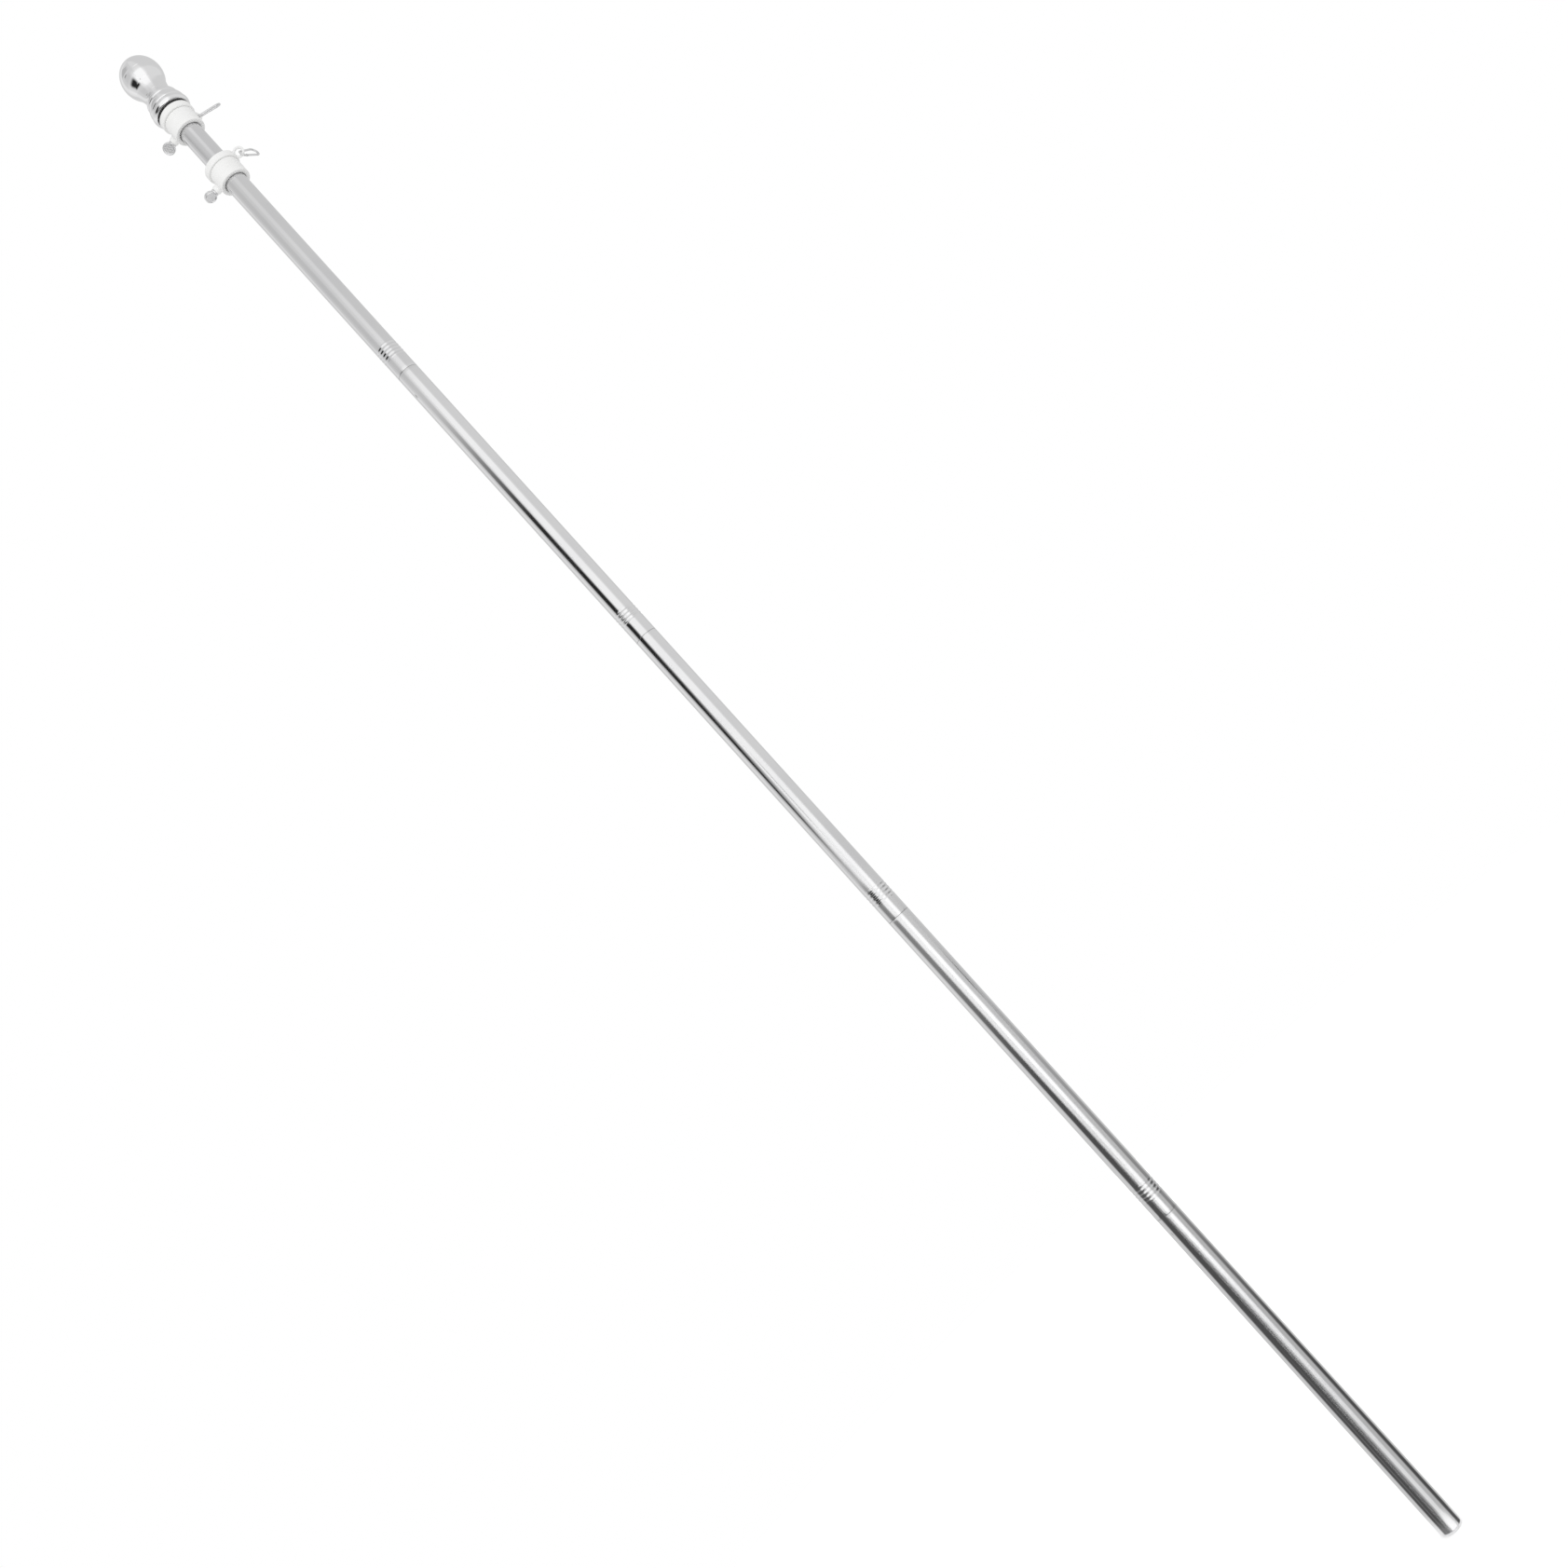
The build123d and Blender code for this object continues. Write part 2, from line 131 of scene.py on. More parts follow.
def new_group(name, inputs, outputs):
    """A shader node group whose inputs and outputs are all single numbers, ready to be filled."""
    group = bpy.data.node_groups.new(name, "ShaderNodeTree")
    for label, default in inputs.items():
        socket = group.interface.new_socket(name=label, in_out="INPUT", socket_type="NodeSocketFloat")
        socket.default_value = default
    for label in outputs:
        group.interface.new_socket(name=label, in_out="OUTPUT", socket_type="NodeSocketFloat")
    return group, group.nodes.new("NodeGroupInput"), group.nodes.new("NodeGroupOutput")


def noise(tree, place, scale, detail, roughness=0.55):
    """Noise of a given scale at a place, as a number from about 0.3 to 0.7."""
    return add_node(tree, "ShaderNodeTexNoise", None, Vector=place, Scale=scale, Detail=detail,
                    Roughness=roughness).outputs["Fac"]


def stretched(tree, scale):
    """Object coordinates multiplied by a scale for each axis, to draw a pattern out along one."""
    coords = add_node(tree, "ShaderNodeTexCoord").outputs["Object"]
    return add_node(tree, "ShaderNodeMapping", {"vector_type": "POINT"}, Vector=coords,
                    Scale=scale).outputs["Vector"]


def remap(tree, value, low, high, to_low, to_high):
    """Carries low..high smoothly to to_low..to_high and holds the ends."""
    return add_node(tree, "ShaderNodeMapRange", {"interpolation_type": "SMOOTHSTEP"}, i0=value, i1=low,
                    i2=high, i3=to_low, i4=to_high).outputs[0]


# %% [markdown]
# Polished tube is never a perfect mirror. The belt that polished it leaves hair-fine lines along
# its length and a faint waviness, hands leave patches where the shine is duller, years of packing
# leave a few short scuffs, and dust settles in specks. An image could hold such marks, but noise
# never repeats and needs no map. It is stretched where a mark is long, and every finish shares it.

# %% Shared effects
polish_group, polish_in, polish_out = new_group(
    "belt_polish", {"Line Scale": 900.0, "Draw Out": 0.02, "Wave Scale": 9.0}, ("Lines", "Wave"))
polish_coords = add_node(polish_group, "ShaderNodeTexCoord").outputs["Object"]
polish_split = add_node(polish_group, "ShaderNodeSeparateXYZ", None, Vector=polish_coords)
polish_long = maths(polish_group, "MULTIPLY", polish_split.outputs[2], polish_in.outputs["Draw Out"])
polish_place = add_node(polish_group, "ShaderNodeCombineXYZ", None, X=polish_split.outputs[0],
                        Y=polish_split.outputs[1], Z=polish_long).outputs[0]
polish_lines = noise(polish_group, polish_place, polish_in.outputs["Line Scale"], 2.0)
polish_wave = noise(polish_group, polish_coords, polish_in.outputs["Wave Scale"], 2.0, 0.4)
polish_group.links.new(polish_lines, polish_out.inputs["Lines"])
polish_group.links.new(polish_wave, polish_out.inputs["Wave"])

handling_group, handling_in, handling_out = new_group(
    "handling_marks", {"Patch Scale": 14.0, "Scuff Scale": 150.0, "Scuff Rarity": 0.79},
    ("Smudge", "Scuff", "Dust"))
handling_coords = add_node(handling_group, "ShaderNodeTexCoord").outputs["Object"]
smudge_noise = noise(handling_group, handling_coords, handling_in.outputs["Patch Scale"], 5.0, 0.6)
smudge = remap(handling_group, smudge_noise, 0.42, 0.68, 0.0, 1.0)
scuff_place = stretched(handling_group, (1.0, 1.0, 0.35))
scuff_noise = noise(handling_group, scuff_place, handling_in.outputs["Scuff Scale"], 1.0, 0.3)
scuff_edge = maths(handling_group, "ADD", handling_in.outputs["Scuff Rarity"], 0.05)
scuff = remap(handling_group, scuff_noise, handling_in.outputs["Scuff Rarity"], scuff_edge, 0.0, 1.0)
dust_noise = noise(handling_group, handling_coords, 2600.0, 1.0, 0.5)
dust = remap(handling_group, dust_noise, 0.66, 0.74, 0.0, 1.0)
for value, label in ((smudge, "Smudge"), (scuff, "Scuff"), (dust, "Dust")):
    handling_group.links.new(value, handling_out.inputs[label])
print("shared effects:", [g.name for g in bpy.data.node_groups])


# %% [markdown]
# A material here starts as an empty Principled shader. Shared effects are placed in it with this
# material's own numbers, and two colours are blended by a mask. Shade where parts meet and in
# grooves is painted in, as a dark hair-line drawn at chosen heights on the pole.

# %% Material helpers
MM = 0.001
# a near-black colour for the painted shade lines at seams and grooves
PAINTED_SHADE_COLOUR = (0.05, 0.048, 0.045, 1.0)


def use_group(tree, group, **values):
    """Places a shared effect in a material and sets its inputs."""
    node = tree.nodes.new("ShaderNodeGroup")
    node.node_tree = group
    for key, value in values.items():
        node.inputs[key.replace("_", " ")].default_value = value
    return node


def new_material(name):
    """An empty node material with its Principled shader, ready for colour and roughness."""
    material = bpy.data.materials.new(name)
    material.use_nodes = True
    return material, material.node_tree, material.node_tree.nodes["Principled BSDF"]


def mix_colour(tree, amount, first, second):
    """Blends two colours by a mask."""
    return add_node(tree, "ShaderNodeMix", {"data_type": "RGBA"}, i0=amount, i6=first, i7=second).outputs[2]


def dark_lines(tree, colour, pitch, first, half_width, depth):
    """Paints hair-lines of shade round the pole, the painted shade of seams and grooves: one wherever
    the height less the first is a whole number of pitches."""
    coords = add_node(tree, "ShaderNodeTexCoord").outputs["Object"]
    height = add_node(tree, "ShaderNodeSeparateXYZ", None, Vector=coords).outputs["Z"]
    off_line = maths(tree, "PINGPONG", maths(tree, "SUBTRACT", height, first), pitch / 2)
    painted_shade = remap(tree, off_line, half_width, 0.4 * half_width, 0.0, depth)
    return mix_colour(tree, painted_shade, colour, PAINTED_SHADE_COLOUR)


def add_bump(tree, shader, height):
    """Bump in millimetres: a height of 1 stands a millimetre proud."""
    bump = add_node(tree, "ShaderNodeBump", None, Strength=1.0, Distance=MM, Height=height)
    tree.links.new(bump.outputs[0], shader.inputs["Normal"])


def shaded(colour, amount):
    """The same colour, darkened by a factor."""
    return (*[c * amount for c in colour[:3]], 1.0)


print("grime colour:", PAINTED_SHADE_COLOUR)

# %% [markdown]
# Every metal on the pole is the same recipe with other numbers: a pale base colour, a low
# roughness that the smudges raise, and a bump of polishing lines that is a few thousandths of a
# millimetre high. The bump is what turns a sharp reflection into the long soft streaks of
# polished tube.

# %% Metals
TUBE_LENGTH = 0.390
ONCE = 9.0  # a pitch longer than the pole, so the line is drawn once


def metal(name, pale, dull, gloss, smear, line_scale, draw_out, line_height, wave_height, lines=()):
    """Polished metal: base colour from pale to dull, roughness from gloss to smear, lines as bump.
    Each of the lines gives dark_lines its pitch, first height, half width and depth, for a hair-line of
    painted shade."""
    material, tree, shader = new_material(name)
    polish = use_group(tree, polish_group, Line_Scale=line_scale, Draw_Out=draw_out)
    marks = use_group(tree, handling_group)
    shader.inputs["Metallic"].default_value = 1.0
    colour = mix_colour(tree, marks.outputs["Smudge"], pale, dull)
    scuffed = mix_colour(tree, marks.outputs["Scuff"], colour, shaded(pale, 0.55))
    for line in lines:
        scuffed = dark_lines(tree, scuffed, *line)
    tree.links.new(scuffed, shader.inputs["Base Color"])
    rough = remap(tree, marks.outputs["Smudge"], 0.0, 1.0, gloss, smear)
    rough = maths(tree, "MULTIPLY_ADD", marks.outputs["Scuff"], 0.2, rough)
    rough = maths(tree, "MULTIPLY_ADD", marks.outputs["Dust"], 0.12, rough, clamp=True)
    tree.links.new(rough, shader.inputs["Roughness"])
    height = maths(tree, "MULTIPLY", polish.outputs["Lines"], line_height)
    height = maths(tree, "MULTIPLY_ADD", polish.outputs["Wave"], wave_height, height)
    add_bump(tree, shader, height)
    return material


# the pole steel's one line is painted shade at every seam between tubes
tube_metal = metal(
    "pole_steel", (0.86, 0.86, 0.865, 1), (0.83, 0.83, 0.84, 1), gloss=0.09, smear=0.14, line_scale=1500.0,
    draw_out=0.01, line_height=0.007, wave_height=0.05, lines=[(TUBE_LENGTH, 0.0, 0.0005, 0.35)])
# the finial's three lines are painted shade in the flange's step and the two grooves above it
finial_metal = metal(
    "finial_chrome", (0.95, 0.95, 0.955, 1), (0.92, 0.92, 0.93, 1), gloss=0.04, smear=0.08, line_scale=900.0,
    draw_out=1.0, line_height=0.0005, wave_height=0.02,
    lines=[(ONCE, 1.9751, 0.0005, 0.8), (ONCE, 1.9846, 0.0003, 0.5), (ONCE, 1.9908, 0.0003, 0.5)])
screw_metal = metal(
    "screw_steel", (0.97, 0.97, 0.975, 1), (0.88, 0.88, 0.89, 1), gloss=0.32, smear=0.42, line_scale=900.0,
    draw_out=1.0, line_height=0.02, wave_height=0.1)
clip_metal = metal(
    "clip_steel", (0.86, 0.86, 0.865, 1), (0.72, 0.72, 0.73, 1), gloss=0.1, smear=0.18, line_scale=900.0,
    draw_out=1.0, line_height=0.004, wave_height=0.03)
# near-black metal that paints the shade in the hollow under the flange
hollow_shade_metal = metal(
    "flange_painted_shade_hollow", (0.22, 0.22, 0.22, 1), (0.15, 0.15, 0.15, 1), gloss=0.5, smear=0.6, line_scale=900.0,
    draw_out=1.0, line_height=0.004, wave_height=0.02)
stud_metal = metal(
    "stud_steel", (0.55, 0.55, 0.56, 1), (0.45, 0.45, 0.46, 1), gloss=0.3, smear=0.4, line_scale=900.0,
    draw_out=1.0, line_height=0.01, wave_height=0.05)
print("metals:", [m.name for m in bpy.data.materials if m.name.endswith(("steel", "chrome", "hollow"))])

# %% [markdown]
# The collars are moulded from white plastic with a satin skin. A fine pebble in the bump stands for
# the mould's own finish, and the white is left a little short of full, as a real one is.

# %% Plastics
def moulded(name, colour, worn, roughness, grain_height):
    """Moulded plastic: a base colour that yellows in patches, satin roughness and a pebbled bump."""
    material, tree, shader = new_material(name)
    marks = use_group(tree, handling_group, Patch_Scale=60.0, Scuff_Scale=420.0, Scuff_Rarity=0.79)
    base = mix_colour(tree, marks.outputs["Smudge"], colour, worn)
    scuffed = mix_colour(tree, marks.outputs["Scuff"], base, shaded(worn, 0.86))
    tree.links.new(scuffed, shader.inputs["Base Color"])
    rough = remap(tree, marks.outputs["Smudge"], 0.0, 1.0, roughness, roughness + 0.12)
    rough = maths(tree, "MULTIPLY_ADD", marks.outputs["Dust"], 0.15, rough)
    tree.links.new(rough, shader.inputs["Roughness"])
    coords = add_node(tree, "ShaderNodeTexCoord").outputs["Object"]
    add_bump(tree, shader, maths(tree, "MULTIPLY", noise(tree, coords, 2200.0, 2.0), grain_height))
    return material


collar_white = moulded("collar_plastic", (0.93, 0.93, 0.925, 1), (0.91, 0.91, 0.9, 1), 0.36, 0.002)
plug_black = moulded("plug_plastic", (0.035, 0.035, 0.037, 1), (0.05, 0.05, 0.05, 1), 0.5, 0.01)

finishes = {"pole_steel": tube_metal, "finial_chrome": finial_metal, "screw_steel": screw_metal,
            "clip_steel": clip_metal, "stud_steel": stud_metal, "collar_plastic": collar_white,
            "plug_plastic": plug_black}
for subpart in frame["record"]["subparts"]:
    nodes[subpart["node"]].data.materials.clear()
    nodes[subpart["node"]].data.materials.append(finishes[subpart["material_slot"]])


# %% [markdown]
# Most of a flagpole is turned work: tube, finial and screw head are all a profile carried round an
# axis. Blender's Spin tool or a Screw modifier would do it, but as numbers it is one formula. The
# grid's first parameter runs along the profile and its second runs round the axis, and because the
# whole surface is one array, a detail such as a crimp is simply added to the radius.

# %% Turned surfaces
def smooth(x):
    """The smooth step 3x2 - 2x3, with x held between 0 and 1."""
    x = np.clip(x, 0.0, 1.0)
    return x * x * (3.0 - 2.0 * x)


def hump(x, middle, half_width):
    """A bell, exp of minus the squared distance from the middle in half widths."""
    return np.exp(-((x - middle) / half_width) ** 2)


def grid_faces(rows, columns, wrap=False, close=False):
    """Quads between neighbours of a grid; the last column meets the first if it wraps, and the last row
    meets the first if it closes."""
    i, j = np.meshgrid(np.arange(rows if close else rows - 1),
                       np.arange(columns if wrap else columns - 1), indexing="ij")
    down, k = (i + 1) % rows, (j + 1) % columns
    corners = (i * columns + j, i * columns + k, down * columns + k, down * columns + j)
    return np.stack(corners, -1).reshape(-1, 4)


def through(points, per_span):
    """A Catmull-Rom curve through points: each span blends its four nearest points by cubic weights."""
    p = np.array(points, float)
    p = np.vstack((2 * p[0] - p[1], p, 2 * p[-1] - p[-2]))
    t = np.linspace(0, 1, per_span, endpoint=False)[:, None]
    a, b, c, d = p[:-3, None], p[1:-2, None], p[2:-1, None], p[3:, None]
    curve = 0.5 * (2 * b + (c - a) * t + (2 * a - 5 * b + 4 * c - d) * t ** 2
                   + (3 * b - a - 3 * c + d) * t ** 3)
    return np.vstack((curve.reshape(-1, p.shape[1]), p[-2]))


def turned(profile, steps, ripple=None):
    """A profile of (radius, height) rows carried round Z: x = r cos t, y = r sin t, z = h. Ripple is a
    formula of radius, height and angle that gives a change of radius and one of height."""
    t = np.linspace(0, 2 * np.pi, steps, endpoint=False)
    r, t = np.meshgrid(profile[:, 0], t, indexing="ij")
    h = np.repeat(profile[:, 1][:, None], steps, axis=1)
    if ripple is not None:
        wider, higher = ripple(r, h, t)
        r, h = r + wider, h + higher
    return np.stack((r * np.cos(t), r * np.sin(t), h), -1)


print("a ring of 3 rows by 8 steps has", len(grid_faces(3, 8, wrap=True)), "faces")

# %% [markdown]
# A grid that closes at a pole or a seam has points on top of each other there. They are merged
# before the mesh is made, and faces that shrink to a line are dropped, so that each piece is one
# closed skin. Then the piece is parented to the body it moves with, and the CAD node it stands for is hidden.

# %% Pieces
MERGE_WITHIN = 1e-7


def add_piece(name, points, faces, material, body, node, sharp=38.0):
    """Makes a mesh of a point array, merges doubled points, shades it smooth but for sharp edges, gives
    it its finish, parents it to a body and hides the CAD node it stands for."""
    points = points.reshape(-1, 3)
    _, first, same = np.unique(np.round(points / MERGE_WITHIN), axis=0, return_index=True,
                               return_inverse=True)
    corners = [list(dict.fromkeys(face)) for face in same.reshape(-1)[faces].tolist()]
    mesh = bpy.data.meshes.new(name)
    mesh.from_pydata(points[first].tolist(), [], [face for face in corners if len(face) > 2])
    shape = bmesh.new()
    shape.from_mesh(mesh)
    bmesh.ops.recalc_face_normals(shape, faces=shape.faces)
    shape.to_mesh(mesh)
    shape.free()
    mesh.polygons.foreach_set("use_smooth", np.ones(len(mesh.polygons), bool))
    mesh.set_sharp_from_angle(angle=np.radians(sharp))
    mesh.materials.append(material)
    piece = bpy.data.objects.new(name, mesh)
    bpy.context.scene.collection.objects.link(piece)
    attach(piece, body)
    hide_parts(node)
    print(name, len(mesh.polygons), "faces")
    return piece


print("points closer than", MERGE_WITHIN, "m are merged")

# %% [markdown]
# Each tube but the lowest has four rings rolled in just above its seam. The roller pushes metal
# aside, so a groove has a faint swelling on both sides, and those swellings are what catch the
# light. The wall's radius is a sum of bells. Both rims are rounded, and the steel's material paints
# shade at each seam, so that two tubes meet in a fine dark line instead of vanishing into each other.

# %% The five tubes
POLE_RADIUS = 0.0127
TUBE_WALL = 0.8 * MM
TUBE_STEPS = 128
RIM_ROUND = 0.3 * MM
FOOT_ROUND = 0.35 * MM
CRIMPS = 0.0225 + 0.0042 * np.arange(4)  # heights above the tube's foot
GROOVE_DEPTH, GROOVE_HALF = 0.24 * MM, 0.95 * MM
SWELL_HEIGHT, SWELL_AT, SWELL_HALF = 0.09 * MM, 2.1 * MM, 0.75 * MM


def crimped(height):
    """Change of radius at a height above the tube's foot: each crimp is a groove between two swellings."""
    away = height[:, None] - CRIMPS[None, :]
    groove = -GROOVE_DEPTH * hump(away, 0.0, GROOVE_HALF)
    swell = SWELL_HEIGHT * hump(np.abs(away), SWELL_AT, SWELL_HALF)
    return (groove + swell).sum(axis=1)


def tube(index):
    """Points and faces of one tube: its closed profile goes up the outside over two rounded rims and
    down the bore, and is carried round the pole's axis."""
    foot = index * TUBE_LENGTH
    low = FOOT_ROUND if index == 0 else RIM_ROUND
    t = np.linspace(0, np.pi / 2, 7)
    low_rim = np.stack((POLE_RADIUS - low + low * np.sin(t), low - low * np.cos(t)), -1)
    high_rim = np.stack((POLE_RADIUS - RIM_ROUND + RIM_ROUND * np.cos(t),
                         TUBE_LENGTH - RIM_ROUND + RIM_ROUND * np.sin(t)), -1)
    fine = np.linspace(0.017, 0.042, 126)
    heights = np.concatenate(([0.004, 0.010], fine, np.linspace(0.06, TUBE_LENGTH - 0.004, 24)))
    wall = np.stack((np.full_like(heights, POLE_RADIUS), heights), -1)
    if index > 0:
        wall[:, 0] += crimped(heights)
    bore = np.linspace(TUBE_LENGTH, 0, 12)
    inside = np.stack((np.full_like(bore, POLE_RADIUS - TUBE_WALL), bore), -1)
    profile = np.vstack((low_rim, wall, high_rim, inside))
    points = turned(profile + (0, foot), TUBE_STEPS)
    return points, grid_faces(len(profile), TUBE_STEPS, wrap=True, close=True)


for index in range(5):
    points, faces = tube(index)
    add_piece(f"tube_{index + 1}", points, faces, tube_metal, "pole",
              f"pole_section_{index + 1}", 60.0)

# %% [markdown]
# The finial is turned, polished and plated. Its profile is drawn as runs of (radius, height) points
# in millimetres, with a smooth curve through each run and a sharp edge wherever one run ends and
# the next begins. From below: the ferrule, the hollow under the flange, the flange with its step,
# two beads with fine grooves between them, and a neck that flares into the ball. The ball could be
# a UV sphere, but as half a circle turned round it shares the stem's seams and steps.

# %% Finial
FLANGE_FOOT = 1.968
BALL_RADIUS = 0.024
FINIAL_STEPS = 160
HOLLOW_RADIUS, HOLLOW_HEIGHT = 19.2 * MM, 2.1 * MM
BALL_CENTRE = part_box("finial_ball")[1][2] - BALL_RADIUS
print("ball's middle at", round(BALL_CENTRE, 5), "m")

ferrule_run = [(0, -18.0), (12.68, -18.0), (12.68, 2.0)]
hollow_run = [(12.68, 2.0), (18.4, 2.0), (19.1, 0.5)]
finial_runs = [
    [(19.1, 0.5), (19.6, 0.05), (20.9, 0.12), (22.2, 1.6), (22.95, 3.8), (22.75, 5.8), (22.2, 6.8)],
    [(22.2, 6.8), (21.0, 7.15)],
    [(21.0, 7.15), (21.55, 7.8), (21.9, 8.9), (21.9, 10.3), (21.4, 12.4), (20.5, 14.6), (19.6, 16.3)],
    [(19.6, 16.3), (18.7, 16.7)],
    [(18.7, 16.7), (19.15, 17.3), (19.4, 18.3), (19.3, 19.6), (18.7, 21.3), (17.9, 22.6)],
    [(17.9, 22.6), (17.2, 22.95)],
    [(17.2, 22.95), (16.35, 24.4), (15.95, 26.4), (15.9, 28.4), (16.15, 31.0), (16.7, 34.0),
     (17.5, 37.2), (18.3, 39.7), (19.2, 41.6)],
    [(19.2, 41.6), (0, 41.6)],
]
stem_profile = np.vstack([np.array(ferrule_run), np.array(hollow_run)]
                         + [through(run, 10) if len(run) > 3 else np.array(run) for run in finial_runs])
stem_points = turned(stem_profile * MM + (0, FLANGE_FOOT), FINIAL_STEPS)
stem_faces = grid_faces(len(stem_profile), FINIAL_STEPS, wrap=True)
stem = add_piece("finial_turning", stem_points, stem_faces, finial_metal, "pole",
                 "finial_stem")

latitude = np.linspace(-np.pi / 2, np.pi / 2, 97)
ball_profile = np.stack((BALL_RADIUS * np.cos(latitude), BALL_CENTRE + BALL_RADIUS * np.sin(latitude)), -1)
ball_profile[[0, -1], 0] = 0.0
ball_faces = grid_faces(len(ball_profile), FINIAL_STEPS, wrap=True)
add_piece("finial_globe", turned(ball_profile, FINIAL_STEPS), ball_faces, finial_metal, "pole",
          "finial_ball")

# %% [markdown]
# Under the flange is a shallow hollow, and the shade in it is painted: its faces take a near-black
# metal. A mask in the material could paint it, but it ends at a sharp edge, so its faces simply
# take a second material slot, chosen by where their centres lie.

# %% Painted shade in the hollow under the flange
stem.data.materials.append(hollow_shade_metal)
centres = np.zeros(len(stem.data.polygons) * 3)
stem.data.polygons.foreach_get("center", centres)
centres = centres.reshape(-1, 3)
in_shaded_hollow = ((np.hypot(centres[:, 0], centres[:, 1]) < HOLLOW_RADIUS)
             & (np.abs(centres[:, 2] - FLANGE_FOOT) < HOLLOW_HEIGHT))
# the faces in the hollow take the painted shade material
stem.data.polygons.foreach_set("material_index", in_shaded_hollow.astype(np.int32))
print("dull faces under the flange:", int(in_shaded_hollow.sum()))

# %% [markdown]
# A thumb screw is two turnings at right angles: a threaded shank with its shoulder on the screw's
# own axis, and a cast round paddle whose axis lies across it. A thread could be cut with a Screw
# modifier and a Boolean, which leaves ragged ends. Here it is a ridge whose phase grows with both
# height and angle, which is all a helix is, and it fades out by itself at the shoulder. The
# paddle's dish is left as it came from the sand, with a few low waves that don't line up.

# %% Thread and dish
SHOULDER_AT = 23.7 * MM
THREAD_PITCH, THREAD_HEIGHT = 0.8 * MM, 0.2 * MM
DISH_RADIUS, WAVE_HEIGHT = 4.9 * MM, 0.014 * MM


def turned_about(points, origin, axis, side):
    """Carries a turning from Z to another axis: its x goes along side and its z along the axis."""
    axis, side = np.array(axis), np.array(side)
    frame_rows = np.stack((side, np.cross(axis, side), axis))
    return points @ frame_rows + np.array(origin)


def thread(r, h, t):
    """The helix: radius grows by a cosine of height over pitch less angle, only along the threaded part."""
    threaded = smooth((SHOULDER_AT - 0.4 * MM - h) / (0.4 * MM)) * (r > 1.5 * MM) * (r < 2.6 * MM)
    return threaded * THREAD_HEIGHT * np.cos(2 * np.pi * h / THREAD_PITCH - t), 0.0 * h


def sand_cast(r, h, t):
    """Low waves across the dish: three sines in different directions, fading out at the raised rim."""
    x, y = r * np.cos(t) / MM, r * np.sin(t) / MM
    waves = np.sin(2.1 * x + 0.8 * y) + np.sin(1.3 * y - 2.4 * x + 1.0) + np.sin(2.9 * y + 0.7 * x + 2.0)
    inside = 1 - smooth((r - DISH_RADIUS) / (0.5 * MM))
    return 0.0 * r, np.sign(h) * WAVE_HEIGHT * waves * inside


print("turns of thread to the shoulder:", round((SHOULDER_AT - 12.76 * MM) / THREAD_PITCH, 1))

# %% [markdown]
# The paddle's profile is half a section, mirrored to give both faces: a dish that is almost flat,
# and a rim that rises round it. Each screw points its own way out of its collar, and each paddle is
# stopped at its own angle, as screws are that were tightened by hand.

# %% Thumb screws
SCREWS = {"upper": (1.9375, 161.0, -38.0), "lower": (1.8574, 172.0, -78.0)}  # foot, direction, paddle
SCREW_HEIGHT = 10.5 * MM
PADDLE_AT = 31.8 * MM
SHANK_STEPS, PADDLE_STEPS = 40, 72
UPWARD = np.array((0.0, 0.0, 1.0))


def outward_at(turn):
    """The level direction from the pole to a screw, from its angle round the pole in degrees."""
    turn = np.radians(turn)
    return np.array((np.cos(turn), np.sin(turn), 0.0))


half = through([(5.1, 1.35), (5.4, 1.6), (5.75, 2.1), (6.3, 2.16), (6.75, 1.7), (6.86, 0.9), (6.86, 0.0)], 5)
dish = np.stack((np.linspace(0, 5.1, 16), 1.32 + 0.03 * np.linspace(0, 1, 16) ** 2), -1)
upper_half = np.vstack((dish[:-1], half))
paddle_profile = np.vstack((upper_half * (1, -1), upper_half[::-1][1:])) * MM
shank_profile = np.vstack((
    [(0, 12.76)], np.stack((np.full(110, 2.28), np.linspace(12.76, 23.6, 110)), -1),
    [(2.3, 23.7), (3.9, 23.7), (4.18, 24.0), (4.18, 25.9), (3.9, 26.2), (0, 26.2)])) * MM
shank_faces = grid_faces(len(shank_profile), SHANK_STEPS, wrap=True)
paddle_faces = grid_faces(len(paddle_profile), PADDLE_STEPS, wrap=True)
for level, (foot, turn, paddle_turn) in SCREWS.items():
    outward, tilt = outward_at(turn), np.radians(paddle_turn)
    across = np.cross(outward, UPWARD) * np.cos(tilt) - UPWARD * np.sin(tilt)
    base = np.array((0, 0, foot + SCREW_HEIGHT))
    shank = turned_about(turned(shank_profile, SHANK_STEPS, thread), base, outward, UPWARD)
    add_piece(f"screw_{level}_shank", shank, shank_faces, screw_metal, f"screw_{level}",
              f"thumb_screw_{level}", 50.0)
    paddle = turned(paddle_profile, PADDLE_STEPS, sand_cast)
    paddle = turned_about(paddle, base + outward * PADDLE_AT, across, outward)
    add_piece(f"screw_{level}_paddle", paddle, paddle_faces, screw_metal, f"screw_{level}",
              f"thumb_screw_{level}", 50.0)


# %% [markdown]
# A collar's sleeve is moulded in one piece: a skirt that grips the tube, a thinner hub above it for
# the ring to turn on, and a boss for the screw. Its foot is flat, with a small counterbore that
# leaves a dark line round the tube. A Boolean could join boss and sleeve, but it breaks up the even
# grid that keeps a white surface clean, so the boss is a second turning, rooted inside the wall.

